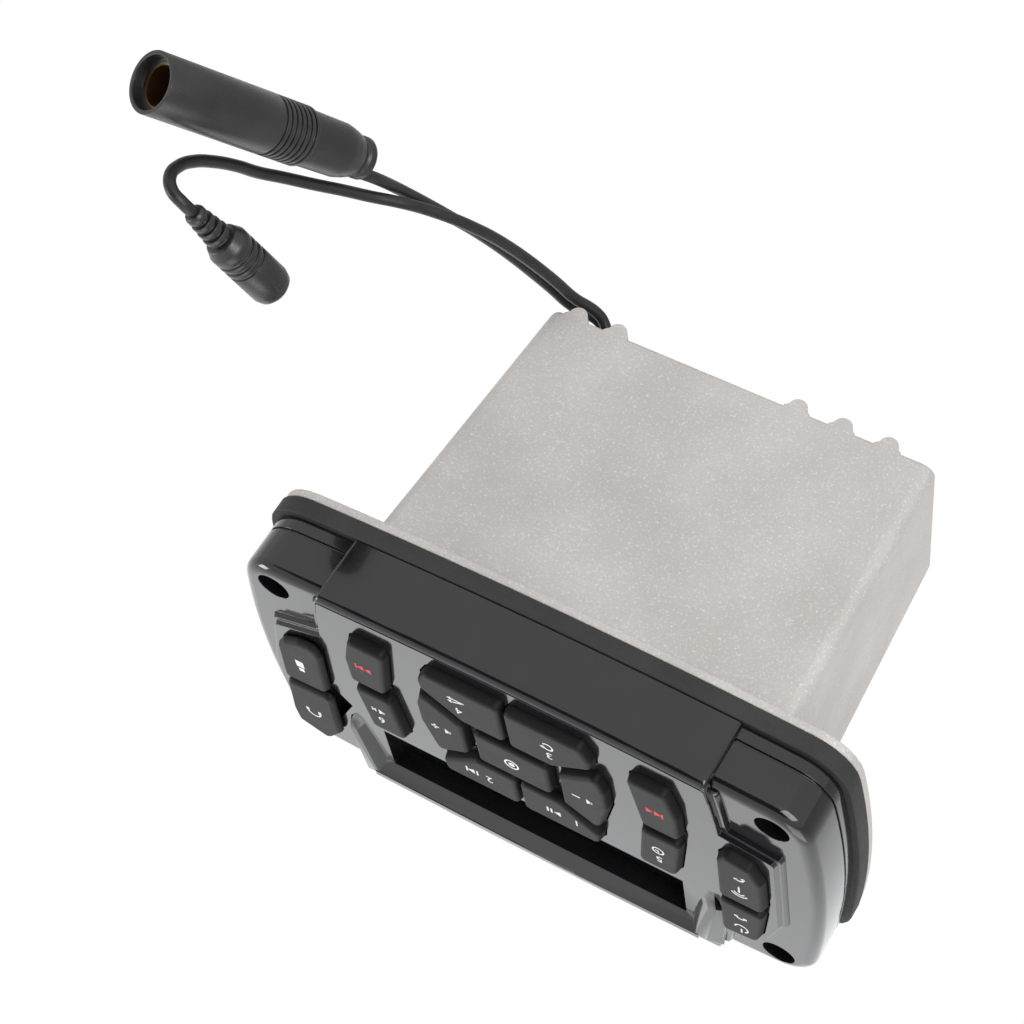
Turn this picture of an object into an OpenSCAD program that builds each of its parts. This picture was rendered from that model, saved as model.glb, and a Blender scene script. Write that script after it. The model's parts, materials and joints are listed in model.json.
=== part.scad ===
// Flush-mount marine stereo, upright as installed, in millimetres.
// X runs to the right of a person facing the front, Y runs to the rear, Z is up.
// The origin is the centre of the panel face, the rear face of the housing's flange.

/* [Panel fixing] */
// Distance between the panel screws across the front
screw_x = 138; // [132:1:142]
// Distance between the panel screws up the front
screw_z = 74; // [70:1:76]
// Diameter of the panel screw holes
screw_hole_d = 4.5; // [3.5:0.1:5]
// Diameter of the counterbores over the screw heads
counterbore_d = 9; // [8:0.1:10]
// Depth of the counterbores
counterbore_depth = 8; // [4:0.5:10]

/* [Front plate] */
// Width of the flange at its middle
flange_w = 166; // [163:0.5:170]
// Height of the flange at its middle
flange_h = 99.2; // [97:0.2:104]
// Thickness of the flange
flange_t = 2.3; // [1.8:0.1:3]
// Thickness of the rubber gasket
gasket_t = 4.9; // [3:0.1:6]
// How far the short ends bow out
end_bow = 4.6; // [3:0.2:6]
// How far the long edges bow out
edge_bow = 3.8; // [2.5:0.1:5]
// Radius of the plate corners
corner_r = 13; // [10:0.5:16]
// How far the bezel stands inside the gasket's outline
bezel_inset = 1.6; // [1:0.1:2.2]
// Depth of the bezel from the gasket to the wing faces
bezel_d = 16.3; // [15.5:0.1:18]
// Wall of the bezel
bezel_wall = 2.6; // [2:0.1:3]
// Radius round the front edge of the bezel
bezel_edge_r = 3; // [1.5:0.1:3.4]
// Distance of the trim groove from the gasket
groove_y = 4; // [3:0.1:6]
// Width of the trim groove
groove_w = 0.7; // [0.4:0.1:1]

/* [Fascia] */
// Width of the raised fascia at its middle
fascia_w = 115; // [113:0.2:116]
// How far the fascia stands proud of the wings
fascia_rise = 2.5; // [2:0.1:3.5]
// Radius round the front edge of the fascia
fascia_edge_r = 2.1; // [0.8:0.1:2.4]
// Width of the display window
window_w = 88.4; // [84:0.2:90]
// Height of the display window
window_h = 18.4; // [16:0.2:19]
// Height of the window's lower edge above the middle
window_z = 14; // [13.6:0.2:14.6]
// Depth of the display behind the fascia face
window_depth = 5; // [4.4:0.1:5.4]
// How far the visor over the display stands proud
visor_rise = 3.2; // [2:0.1:5]

/* [Keys] */
// How far the keys stand proud of the fascia
key_rise = 2.8; // [2:0.1:4]
// Travel of the keys
key_travel = 1.2; // [0.8:0.1:1.3]
// Gap between a key and its opening
key_gap = 0.35; // [0.3:0.01:0.45]
// Gap between the two halves of a long pad
seam_gap = 0.7; // [0.6:0.05:0.9]
// Width of the collar that keeps a key in its opening
key_collar = 0.65; // [0.5:0.05:0.7]
// Taper of the key heads
key_taper = 1.1; // [0.6:0.1:1.4]
// Fillet radius of the key corners
key_r = 2; // [1:0.1:2.4]

/* [Housing] */
// Width of the housing at the flange
housing_w = 119; // [116:0.5:121]
// Height of the housing at the flange
housing_h = 62; // [60:0.5:64]
// Width of the housing at the rear
housing_rear_w = 112.6; // [111:0.2:114]
// Height of the housing at the rear
housing_rear_h = 50.4; // [49.6:0.2:53]
// Depth of the housing behind the panel face
housing_d = 87.8; // [86:0.2:94]
// Wall of the housing
housing_wall = 2.6; // [2:0.1:3]
// Radius of the housing's long edges
housing_r = 4; // [3.2:0.2:5]
// Depth of the cooling fins on the rear
fin_d = 3.2; // [2:0.1:5]
// Width of a cooling fin
fin_w = 5.2; // [4:0.1:5.4]

/* [Leads] */
// Diameter of the two leads
lead_d = 3.1; // [2.6:0.1:3.4]
// Diameter of the antenna socket
socket_d = 15; // [13:0.1:17]
// Length of the antenna socket
socket_l = 68; // [60:0.5:76]
// Diameter of the bore in the antenna socket
socket_bore_d = 9.8; // [8.8:0.1:10.4]
// Depth of the bore in the antenna socket
socket_bore_depth = 20; // [14:0.5:24]
// Diameter of the audio jack's body
jack_d = 10.6; // [9:0.1:12]
// Length of the audio jack
jack_l = 33; // [29:0.5:38]

/* [Hidden] */
$fn = 48;
tiny = 0.01;
slip = 0.1;
fit_gap = 0.3;
arc_steps = 6;
corner_steps = 4;
edge_steps = 4;

// Levels along the depth, front faces first
gasket_back = -flange_t;
gasket_front = gasket_back - gasket_t;
wing_y = gasket_front - bezel_d;
face_y = wing_y - fascia_rise;
key_y = face_y - key_rise;
collar_t = 1;
collar_front = wing_y + fit_gap;
collar_back = collar_front + collar_t;
web_t = 1;
web_front = collar_back + key_travel + 0.4;
web_back = web_front + web_t;
switch_h = 4.5;
board_t = 1.6;
board_front = web_back + slip + switch_h;
board_back = board_front + board_t;

// Front outlines
bezel_w = flange_w - 2 * bezel_inset;
bezel_h = flange_h - 2 * bezel_inset;
fascia_open_w = fascia_w - 11;
fascia_open_h = bezel_h - 2 * bezel_wall - 2.8;
skirt_gap = 0.15;
window_top = window_z + window_h;
rib_t = 1.5;
fascia_r = 1.2;
side_share = 0.2;
trim_in = fascia_edge_r - 0.1;
trim_w = 0.5;
trim_depth = 0.5;
trim_top = -40;

// Visor over the display, and the cheeks at its two ends
visor_root = 0.6;
visor_half = 46.8;
visor_flare = 2.2;
visor_top = 46.4;
visor_bow = 1.2;
visor_crease = 1.1;
visor_tip_low = 5.2;
visor_tip_h = 2;
visor_steps = 8;
// Sections of a cheek, each with its height, its four places across and its rise
cheek_cuts = [[11.5, 50.4, 51.4, 53, 54, -0.3], [14.5, 49.4, 52.7, 53.9, 54.8, 1.3], [18, 48.6, 52.2, 54.4, 55.3, 1.9],
    [37, 44.6, 48, 51.5, 54.8, 3.05], [45, 44.6, 47, 51, 54.2, 0.2]];

// Key outlines on the right half, as corner points in X and Z
select_pts = [[-10.8, -21.4], [10.8, -21.4], [10.8, -6.2], [-10.8, -6.2]];
volume_pts = [[13.4, -21], [24.8, -29.2], [26.8, -22], [26.9, -13.5], [23.4, 0.6], [13.4, -6]];
upper_pad_pts = [[seam_gap / 2, -4.4], [12.2, -4.4], [23.2, 4.6], [22.6, 10.2], [seam_gap / 2, 10.2]];
lower_pad_pts = [[seam_gap / 2, -41.8], [21.6, -41.8], [24.3, -36.4], [24.1, -32.6], [12.8, -24.2], [seam_gap / 2, -24.2]];
column_top_pts = [[35.6, -13.6], [46.9, -13.6], [44.6, 6.2], [33.7, 6.2]];
column_low_pts = [[33.2, -38.6], [44.2, -38.6], [46.8, -28], [47, -16.6], [36.2, -16.6]];
band_pts = [[-65.4, -19.6], [-58.4, -21.2], [-56, -17], [-56, 3], [-68.6, 3], [-68.4, -13]];
power_pts = [[-68.4, 5], [-56, 5], [-56, 24.2], [-66.4, 22.6]];

// Islands that carry the end keys and the socket covers, as corner points in X and Z
left_island_pts = [[-70.4, -22.6], [-54, -25.6], [-54, 29.6], [-66, 28.4], [-70.8, 14]];
right_island_pts = [[54, -27], [70.6, -20.9], [75.2, 4], [74.4, 26], [71.6, 30.6], [63.4, 33.4], [54, 31]];
step_share = 0.5;
step_reach = 1.3;
wall_lean = 0.6;
island_r = 1.5;

// Socket covers
cover_rise = 2.2;
cover_front = face_y - fit_gap - cover_rise;
usb_cover_pts = [[57.4, -22.2], [62.8, -21.4], [67.6, -18.6], [70, -14.6], [71.4, 2.8], [57.8, 2], [56.4, -17.6]];
aux_cover_pts = [[57.4, 4.4], [71.6, 5.4], [73.2, 22.6], [72.6, 28.4], [63.4, 32.4], [58.6, 25.6]];
notch_pts = [[58.4, 0.4], [59.4, 21], [52.8, 7.7]];
usb_x = 64.4;
usb_z = -9.4;
usb_w = 7;
usb_h = 14.4;
usb_shell = 0.6;
aux_x = 65.5;
aux_z = 17;
aux_d = 8.4;
aux_bore_d = 3.6;
plug_l = 2;
port_l = 12.2;
port_front = wing_y + slip;
port_board_front = port_front + port_l;
port_board_back = port_board_front + board_t;
port_board_x = [56, 76];
port_board_z = [-26, 30];
port_posts = [[58.6, -23.4], [73.4, -1]];

// Fasteners
post_r = 6.5;
boss_r = 2;
boss_bore_r = 0.95;
small_shank_r = 0.85;
small_head_r = 1.9;
small_head_h = 1.3;
control_bosses = [[-49.4, -41], [49.4, -41], [-49.4, 11.6], [49.4, 11.6]];
board_hole_r = 1.1;

// Display stack
display_margin = 1.3;
lens_front = face_y + window_depth;
lens_t = 1.5;
lcd_t = 1.8;
lcd_front = lens_front + lens_t;
backlight_front = lcd_front + lcd_t;

// Rear of the housing
fin_list = [-42.5, -29.6, -16.8, 36.5, 48.6];
fin_foot = 1;
fin_foot_h = 1;
rear_edge_r = 1.2;
outlet_x = 42.5;
outlet_z = -10;
outlet_pitch = 3.6;
grommet_r = 3.1;
grommet_lip_r = 4.2;
grommet_lip_t = 1.5;
grommet_proud = 0.8;
rear_wall = 3;
rear_inner = housing_d - rear_wall;

// Inside the housing
main_board_z = -12;
main_board_w = 100;
main_board_y = [3, 79];
main_boss_inset = 6;
main_boss_y = [12, 70];
main_bosses = [for (y = main_boss_y, s = [-1, 1]) [s * (main_board_w / 2 - main_boss_inset), y]];
main_boss_r = 3;
main_bore_r = 1.25;
main_shank_r = 1.15;
main_head_r = 2.8;
main_head_h = 2;
main_shank_l = 7;
chip_w = 28;
chip_t = 4.5;
chip_h = 18;
chip_z = -10;
clamp_w = 40;
clamp_t = 2;
clamp_h = 5;
clamp_z = 1;
clamp_screw_x = 17;
clamp_boss_r = 2.6;
// Capacitors as distances from the board's right edge and depths, with their radii and heights
main_cap_at = [20, 52];
main_cap_r = 9;
main_cap_h = 24;
small_caps_at = [[14, 32], [28, 32]];
small_cap_r = 5;
small_cap_h = 14;
tuner_inset = 4;
tuner_y = 28;
tuner_size = [32, 28, 13];
module_at = [20, 8];
module_size = [20, 2, 18];
header_size = [32, 8];
header_back = 9;
// Left ends of the sheet and the board behind the end keys
web_end_x = -70.4;
web_end_z = [-22, 25.6];
board_end_x = -71;
board_end_w = 30;
board_end_z = [-23, 26];

// Lead routes from the grommet to the plugs, as steps from the middle of the outlet
lead_root = [outlet_x, housing_d + grommet_proud, outlet_z];
antenna_steps = [[0, 0, outlet_pitch / 2], [0.43, 2.91, 1.41], [1.65, 5.37, 0.31], [3.48, 7.02, -1.35],
    [5.63, 7.6, -3.3], [12.25, 6, -7.88], [16.98, 4, -15.87], [21, 1.7, -23.6], [24.64, -0.9, -31.3],
    [28.01, -3.8, -38.78], [31.28, -6.8, -45.74], [33.68, -9.1, -50.57], [35.83, -11.3, -55.14],
    [37.86, -13.7, -59.92], [40.5, -17.2, -66.62], [42.4, -20.4, -72.41], [43.8, -23.8, -78.1],
    [45.5, -26.3, -81.8]];
jack_steps = [[0, 0, -outlet_pitch / 2], [0.33, 2.68, -2.22], [1.28, 4.95, -3.4], [2.69, 6.47, -5.18],
    [4.36, 7, -7.28], [10.39, 4.6, -14.75], [13.57, 2.8, -21.31], [16.64, 0.5, -28.26],
    [19.52, -2, -34.98], [22.11, -4.5, -40.98], [24.75, -7.3, -46.89], [27.42, -10.1, -52.02],
    [29.95, -12.7, -56.42], [32.8, -15.3, -60.38], [35.74, -17.8, -63.79], [38.13, -20.6, -67.34],
    [41.11, -23.1, -70.01], [44.1, -25.6, -72.48], [48.82, -30.5, -78.04], [53.21, -35.5, -83.57],
    [57.2, -40.4, -89.3], [60.01, -45.38, -95.26], [61.89, -49.75, -101.53], [63.45, -54.54, -107.39],
    [64.48, -59.43, -112.33], [64.61, -64.21, -115.75], [63.65, -68.39, -117.28], [61.24, -71.27, -116.58],
    [58.4, -71.9, -114.4], [57, -71.2, -111]];
antenna_route = [for (p = antenna_steps) lead_root + p];
jack_route = [for (p = jack_steps) lead_root + p];
lead_sides = 8;
socket_axis = unit(antenna_route[len(antenna_route) - 1] - antenna_route[len(antenna_route) - 2]);
// The lead enters the boot beside its middle line
lead_beside = 3.5;
socket_side = unit(cross(socket_axis, [-0.9, 0, -0.42]));
socket_at = antenna_route[len(antenna_route) - 1] + lead_beside * socket_side;
jack_axis = unit(jack_route[len(jack_route) - 1] - jack_route[len(jack_route) - 2]);
jack_at = jack_route[len(jack_route) - 1];
// Shares of the plug lengths where their profiles step
socket_boot_l = 22;
socket_neck_l = 6;
socket_collar_r = 5.4;
mouth_r = 6.4;
mouth_depth = 3;
socket_band_l = 11;
band_rings = 7;
jack_tail_l = 12;
jack_tail_r = 2.5;
jack_neck_r = 3.5;
jack_ribs = 4;
jack_rib_depth = 0.7;
jack_grooves = 3;
jack_groove_depth = 0.4;
jack_dome = 2.6;
contact_t = 0.5;

// Small functions
function unit(v) = v / norm(v);
function flip(pts) = [for (i = [len(pts) - 1:-1:0]) [-pts[i][0], pts[i][1]]];
function middle(pts) = [for (k = [0, 1]) (min([for (p = pts) p[k]]) + max([for (p = pts) p[k]])) / 2];
function arc(c, r, a0, a1, n) = [for (i = [0:n]) let(a = a0 + (a1 - a0) * i / n) c + r * [cos(a), sin(a)]];
function rest(pts) = [for (i = [1:len(pts) - 1]) pts[i]];

// Where two circles meet, on the side to the right of the way from the first to the second centre
function meet(c1, r1, c2, r2) = let(d = norm(c2 - c1), a = (r1 * r1 - r2 * r2 + d * d) / (2 * d), u = (c2 - c1) / d)
    c1 + a * u + sqrt(r1 * r1 - a * a) * [u[1], -u[0]];

// First quarter of a plate outline with bowed edges and round corners, and the whole outline
function bow_radius(chord, bow) = (chord * chord / 4 + bow * bow) / (2 * bow);
function bowed_quarter(half_w, half_h, r, end_r, edge_r) = let(
        end_c = [half_w - end_r, 0],
        edge_c = [0, half_h - edge_r],
        c = meet(edge_c, edge_r - r, end_c, end_r - r),
        a_end = atan2(c[1] - end_c[1], c[0] - end_c[0]),
        a_edge = atan2(c[1] - edge_c[1], c[0] - edge_c[0]))
    concat(arc(end_c, end_r, 0, a_end, arc_steps), rest(arc(c, r, a_end, a_edge, arc_steps)),
        rest(arc(edge_c, edge_r, a_edge, 90, arc_steps)));
function whole(q) = let(n = len(q) - 1)
    concat([for (i = [0:n - 1]) q[i]], [for (i = [n:-1:1]) [-q[i][0], q[i][1]]],
        [for (i = [0:n - 1]) -q[i]], [for (i = [n:-1:1]) [q[i][0], -q[i][1]]]);
function pillow_points(w, h, r) =
    whole(bowed_quarter(w / 2, h / 2, r, bow_radius(h, end_bow), bow_radius(w, edge_bow)));

// Corner points moved outwards by d, for a convex outline that runs anticlockwise
function grown(pts, d) = let(n = len(pts)) [for (i = [0:n - 1]) let(
        a = unit(pts[i] - pts[(i + n - 1) % n]), b = unit(pts[(i + 1) % n] - pts[i]),
        na = [a[1], -a[0]], nb = [b[1], -b[0]]) pts[i] + d * (na + nb) / (1 + na * nb)];

// Outline with each corner rounded by the radius r
function rounded(pts, r) = let(n = len(pts)) [for (i = [0:n - 1]) let(
        a = unit(pts[(i + n - 1) % n] - pts[i]), b = unit(pts[(i + 1) % n] - pts[i]),
        half = acos(a * b) / 2, c = pts[i] + unit(a + b) * r / sin(half), s = atan2(a[0], -a[1]))
        each arc(c, r, s, s + 180 - 2 * half, corner_steps)];
function key_outline(pts, d) = rounded(grown(pts, d), max(0.4, key_r + d));

// Outline of a box with round corners
function box_outline(w, h, r) = rounded([[-w / 2, -h / 2], [w / 2, -h / 2], [w / 2, h / 2], [-w / 2, h / 2]], r);

// Outline of the fascia, whose edges run along those of the flange, and of the step at its sides
function fascia_points(inset) = whole(bowed_quarter(fascia_w / 2 - side_share * inset, flange_h / 2 - inset, fascia_r,
    bow_radius(flange_h, end_bow) - side_share * inset, bow_radius(flange_w, edge_bow) - inset));
function side_step_points(reach) = let(low = bezel_inset + bezel_edge_r)
    whole(bowed_quarter(fascia_w / 2 + reach, flange_h / 2 - low, fascia_r,
        bow_radius(flange_h, end_bow) + reach, bow_radius(flange_w, edge_bow) - low));

// Steps of a rounded front edge of the radius r: how far in, and how far behind the face
function edge_in(r) = [for (i = [0:edge_steps]) r * (1 - cos(90 * i / edge_steps))];
function edge_back(r) = [for (i = [0:edge_steps]) r * (1 - sin(90 * i / edge_steps))];

// Points of a turned profile with n ribs, from the height a to the height b
function ribbed(r0, r1, a, b, n, depth) = let(pitch = (b - a) / n) [for (i = [0:n - 1]) let(
        r = r0 + (r1 - r0) * (i + 0.5) / n, z = a + i * pitch)
    each [[r, z], [r, z + 0.6 * pitch], [r - depth, z + 0.6 * pitch], [r - depth, z + pitch]]];

// One end-to-end line of the visor
function visor_line(half, z, bow) = [for (i = [0:visor_steps]) let(t = 2 * i / visor_steps - 1) [half * t, z - bow * t * t]];
function visor_ring(half, low, low_bow, top, top_bow) = let(up = visor_line(half, top, top_bow))
    concat(visor_line(half, low, low_bow), [for (i = [visor_steps:-1:0]) up[i]]);

// Places along the housing's draft
function housing_half_h(y) = (housing_h + (housing_rear_h - housing_h) * y / housing_d) / 2;

// A closed tube swept along a route, with its end faces square to the route
function side_of(t) = unit(cross(t, abs(t[2]) < 0.9 ? [0, 0, 1] : [1, 0, 0]));
function route_dir(p, i) = unit(p[min(i + 1, len(p) - 1)] - p[max(i - 1, 0)]);
function tube_points(p, r, n) = [for (i = [0:len(p) - 1]) let(t = route_dir(p, i), u = side_of(t), v = cross(t, u))
    for (k = [0:n - 1]) p[i] + r * (cos(360 * k / n) * u + sin(360 * k / n) * v)];
function skin_faces(m, n) = concat([[for (k = [0:n - 1]) k]], [[for (k = [n - 1:-1:0]) (m - 1) * n + k]],
    [for (i = [0:m - 2]) for (k = [0:n - 1]) each [
        [i * n + k, (i + 1) * n + k, (i + 1) * n + (k + 1) % n],
        [i * n + k, (i + 1) * n + (k + 1) % n, i * n + (k + 1) % n]]]);

// Small shapes
module plate(back, front) {
    translate([0, back, 0]) rotate([90, 0, 0]) linear_extrude(back - front) children();
}
module pillow(w, h, r) {
    polygon(pillow_points(w, h, r));
}
module at_each(places, y) {
    for (p = places) translate([p[0], y, p[1]]) rotate([90, 0, 0]) children();
}
module along(place, axis) {
    translate(place) rotate([0, acos(axis[2]), atan2(axis[1], axis[0])]) children();
}
module panel_holes(back, front, d) {
    for (x = [-1, 1], z = [-1, 1]) translate([x * screw_x / 2, back, z * screw_z / 2])
        rotate([90, 0, 0]) cylinder(d = d, h = back - front);
}
// A solid through rings with as many points each, from the rear one to the front one
module skin(rings) {
    polyhedron([for (ring = rings) each ring], skin_faces(len(rings), len(rings[0])));
}
module loft(outlines, depths) {
    skin([for (i = [0:len(depths) - 1]) [for (p = outlines[i]) [p[0], depths[i], p[1]]]]);
}
module tube(route, r) {
    polyhedron(tube_points(route, r, lead_sides), skin_faces(len(route), lead_sides));
}
module outlet(r, back, front) {
    plate(back, front) translate([outlet_x, outlet_z]) union() {
        square([2 * r, outlet_pitch], center = true);
        for (z = [-1, 1]) translate([0, z * outlet_pitch / 2]) circle(r);
    }
}

// Cast housing with its flange, fins and board bosses
module housing_core(w, h, rear_w, rear_h, front, back, r) {
    e = rear_edge_r;
    loft([box_outline(rear_w - 2 * e, rear_h - 2 * e, r - e), box_outline(rear_w - 0.6 * e, rear_h - 0.6 * e, r - 0.3 * e),
        box_outline(rear_w, rear_h, r), box_outline(w, h, r), box_outline(w, h, r)], [back, back - 0.3 * e, back - e, 0, front]);
}
module fin() {
    linear_extrude(housing_rear_h) union() {
        translate([-fin_w / 2, -rear_edge_r]) square([fin_w, rear_edge_r + fin_d - fin_w / 2]);
        translate([0, fin_d - fin_w / 2]) circle(d = fin_w);
        polygon([[-fin_w / 2 - fin_foot, -rear_edge_r], [fin_w / 2 + fin_foot, -rear_edge_r], [fin_w / 2 + fin_foot, 0],
            [fin_w / 2 - slip, fin_foot_h], [slip - fin_w / 2, fin_foot_h], [-fin_w / 2 - fin_foot, 0]]);
    }
}
module housing() {
    color("#cfccc8") difference() {
        union() {
            difference() {
                union() {
                    housing_core(housing_w, housing_h, housing_rear_w, housing_rear_h, -flange_t / 2, housing_d, housing_r);
                    plate(0, gasket_back) pillow(flange_w, flange_h, corner_r);
                    for (x = fin_list) translate([x, housing_d, -housing_rear_h / 2]) fin();
                }
                housing_core(housing_w - 2 * housing_wall, housing_h - 2 * housing_wall, housing_rear_w - 2 * housing_wall,
                    housing_rear_h - 2 * housing_wall, gasket_back - 1, rear_inner, housing_r - 1);
            }
            for (p = main_bosses) let(low = housing_wall / 2 - housing_half_h(p[1]))
                translate([p[0], p[1], low]) cylinder(r = main_boss_r, h = main_board_z - board_t - low);
            for (x = [-1, 1]) translate([x * clamp_screw_x, rear_inner + 1, clamp_z + clamp_h / 2])
                rotate([90, 0, 0]) cylinder(r = clamp_boss_r, h = chip_t + 1);
        }
        panel_holes(1, gasket_back - 1, screw_hole_d);
        outlet(grommet_r + slip, housing_d + fin_d, rear_inner - 1);
        for (p = main_bosses) translate([p[0], p[1], main_board_z - board_t - main_shank_l])
            cylinder(r = main_bore_r, h = main_shank_l + 1);
        for (x = [-1, 1]) translate([x * clamp_screw_x, rear_inner - chip_t + 5.5, clamp_z + clamp_h / 2])
            rotate([90, 0, 0]) cylinder(r = main_bore_r, h = 7);
    }
}

module gasket() {
    color("#2b2b2b") difference() {
        plate(gasket_back, gasket_front) difference() {
            pillow(flange_w + 0.6, flange_h + 0.6, corner_r);
            square([housing_w - 10, housing_h + 4], center = true);
        }
        panel_holes(gasket_back + 1, gasket_front - 1, screw_hole_d);
    }
}

// Gloss bezel with the two wings and the screw posts
function bezel_points(inset) = pillow_points(bezel_w - 2 * inset, bezel_h - 2 * inset, corner_r - bezel_inset - inset);
module bezel_shell() {
    difference() {
        loft(concat([bezel_points(0)], [for (d = edge_in(bezel_edge_r)) bezel_points(d)]),
            concat([gasket_front], [for (d = edge_back(bezel_edge_r)) wing_y + d]));
        plate(gasket_front + 1, wing_y + bezel_wall) polygon(bezel_points(bezel_wall));
        plate(gasket_front - groove_y + groove_w / 2, gasket_front - groove_y - groove_w / 2) difference() {
            square([2 * flange_w, 2 * flange_h], center = true);
            polygon(bezel_points(groove_w));
        }
        plate(wing_y + bezel_wall + 1, wing_y - 1) square([fascia_open_w, fascia_open_h], center = true);
    }
}
module bezel() {
    color("#1c1c1e") difference() {
        union() {
            bezel_shell();
            panel_holes(gasket_front, wing_y + bezel_wall / 2, 2 * post_r);
            at_each(port_posts, port_board_front) cylinder(r = boss_r, h = port_board_front - wing_y - bezel_wall / 2);
        }
        panel_holes(gasket_front + 1, face_y - 1, screw_hole_d);
        panel_holes(wing_y + counterbore_depth, face_y - 1, counterbore_d);
        at_each(port_posts, port_board_front + 1) cylinder(r = boss_bore_r, h = 8);
        for (pts = [band_pts, power_pts])
            plate(wing_y + bezel_wall + 1, wing_y - 1) polygon(key_outline(pts, key_collar + key_gap));
        plate(wing_y + bezel_wall + 1, wing_y - 1) port_openings();
    }
}

// Raised fascia with its end islands, the display window, its visor and the key openings
module port_openings() {
    translate([usb_x, usb_z]) square([usb_w + 2 * fit_gap, usb_h + 2 * fit_gap], center = true);
    translate([aux_x, aux_z]) circle(d = aux_d + 2 * fit_gap);
}
module islands() {
    step_y = wing_y - fascia_rise * step_share;
    for (pts = [left_island_pts, right_island_pts]) {
        loft([rounded(grown(pts, step_reach + wall_lean), island_r), rounded(grown(pts, step_reach), island_r)],
            [wing_y, step_y]);
        loft([rounded(grown(pts, wall_lean), island_r), rounded(pts, island_r)], [step_y + slip, face_y]);
    }
    loft([side_step_points(step_reach + wall_lean), side_step_points(step_reach)], [wing_y, step_y]);
}
module visor() {
    tip = visor_half + visor_flare;
    tip_low = window_top + visor_tip_low;
    foot = visor_ring(visor_half, window_top, 0.3 * visor_bow, visor_top, visor_bow);
    loft([foot, foot,
        visor_ring(visor_half + 0.3 * visor_flare, window_top + 0.35 * visor_tip_low, 0.3 * visor_bow,
            visor_top - 2, visor_bow),
        visor_ring(tip, tip_low - 0.6, 0.8 * visor_bow, tip_low + visor_tip_h + 0.6, visor_bow),
        visor_ring(tip, tip_low, visor_bow, tip_low + visor_tip_h, visor_bow)],
        [face_y + visor_root, face_y, face_y - visor_crease, face_y - visor_rise + 0.4, face_y - visor_rise]);
    for (s = [0, 1]) mirror([s, 0, 0]) skin([for (c = cheek_cuts) let(crest = face_y - c[5] * visor_rise / 3.2)
        [[c[1], face_y + visor_root, c[0]], [c[2], crest, c[0]], [c[3], crest, c[0]], [c[4], face_y + visor_root, c[0]]]]);
}
module fascia_keys(d) {
    for (pts = [select_pts, band_pts, power_pts]) polygon(key_outline(pts, d));
    for (pts = [volume_pts, upper_pad_pts, lower_pad_pts, column_top_pts, column_low_pts]) {
        polygon(key_outline(pts, d));
        polygon(key_outline(flip(pts), d));
    }
}
module fascia() {
    color("#1f1f21") difference() {
        union() {
            loft(concat([fascia_points(0)], [for (d = edge_in(fascia_edge_r)) fascia_points(d)]),
                concat([wing_y], [for (d = edge_back(fascia_edge_r)) face_y + d]));
            plate(gasket_front - fit_gap, wing_y - 0.4) difference() {
                polygon(fascia_points(0));
                polygon(bezel_points(-skirt_gap));
            }
            plate(wing_y + bezel_wall, wing_y - 0.4) difference() {
                square([fascia_open_w - 2 * skirt_gap, fascia_open_h - 2 * skirt_gap], center = true);
                square([fascia_open_w - 2 * rib_t, fascia_open_h - 2 * rib_t], center = true);
            }
            plate(lens_front, wing_y - 0.4) translate([-window_w / 2 - rib_t, window_z - rib_t])
                square([window_w + 2 * rib_t, window_h + 2 * rib_t]);
            at_each(control_bosses, board_front) cylinder(r = boss_r, h = board_front - wing_y + 0.4);
            islands();
            visor();
        }
        plate(lens_front + 1, face_y - 1) translate([-window_w / 2, window_z]) square([window_w, window_h]);
        plate(wing_y + 1, face_y - visor_rise) fascia_keys(key_gap);
        plate(wing_y + 1, face_y - 1) port_openings();
        plate(wing_y + 1, face_y - 1) polygon(notch_pts);
        panel_holes(wing_y + 1, face_y - 1, counterbore_d);
        plate(face_y + trim_depth, face_y - 1) difference() {
            polygon(fascia_points(trim_in));
            polygon(fascia_points(trim_in + trim_w));
            translate([-fascia_w, trim_top]) square([2 * fascia_w, fascia_w]);
        }
        at_each(control_bosses, board_front + 1) cylinder(r = boss_bore_r, h = 7.6);
    }
}

module display_piece(back, front, d) {
    plate(back, front) translate([-window_w / 2 - d, window_z - d]) square([window_w + 2 * d, window_h + 2 * d]);
}
module display_lens() {
    color("#0b0d10") display_piece(lcd_front, lens_front, display_margin);
}
module lcd_panel() {
    color("#1a2124") display_piece(backlight_front, lcd_front, display_margin - 0.3);
}
module backlight() {
    color("#e8e8e4") display_piece(board_front, backlight_front, display_margin);
}

// Silicone sheet under the keys
module keypad_web() {
    color("#3a3a3c") plate(web_back, web_front) difference() {
        union() {
            translate([-fascia_open_w / 2, -fascia_open_h / 2 + 1])
                square([fascia_open_w, window_z - 2.6 + fascia_open_h / 2]);
            translate([web_end_x, web_end_z[0]])
                square([1 - fascia_open_w / 2 - web_end_x, web_end_z[1] - web_end_z[0]]);
        }
        for (p = control_bosses) translate(p) circle(boss_r + fit_gap);
    }
}

// A rubber key with a collar behind its opening and a tapered head
module key(pts, clip) {
    front = face_y - 0.6;
    plate(collar_back, collar_front) intersection() {
        polygon(key_outline(pts, key_collar));
        if (clip == 0) {
            square(300, center = true);
        } else {
            translate([clip > 0 ? seam_gap / 2 : -100 - seam_gap / 2, -100]) square([100, 200]);
        }
    }
    loft([key_outline(pts, 0), key_outline(pts, 0), key_outline(pts, -0.4 * key_taper), key_outline(pts, -key_taper)],
        [collar_front + collar_t / 2, front, key_y + 0.5, key_y]);
}
key_colour = "#3b3b3d";
module key_select() { color(key_colour) key(select_pts, 0); }
module key_volume_up() { color(key_colour) key(volume_pts, 0); }
module key_volume_down() { color(key_colour) key(flip(volume_pts), 0); }
module key_one() { color(key_colour) key(flip(upper_pad_pts), -1); }
module key_two() { color(key_colour) key(upper_pad_pts, 1); }
module key_three() { color(key_colour) key(flip(lower_pad_pts), -1); }
module key_four() { color(key_colour) key(lower_pad_pts, 1); }
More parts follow.
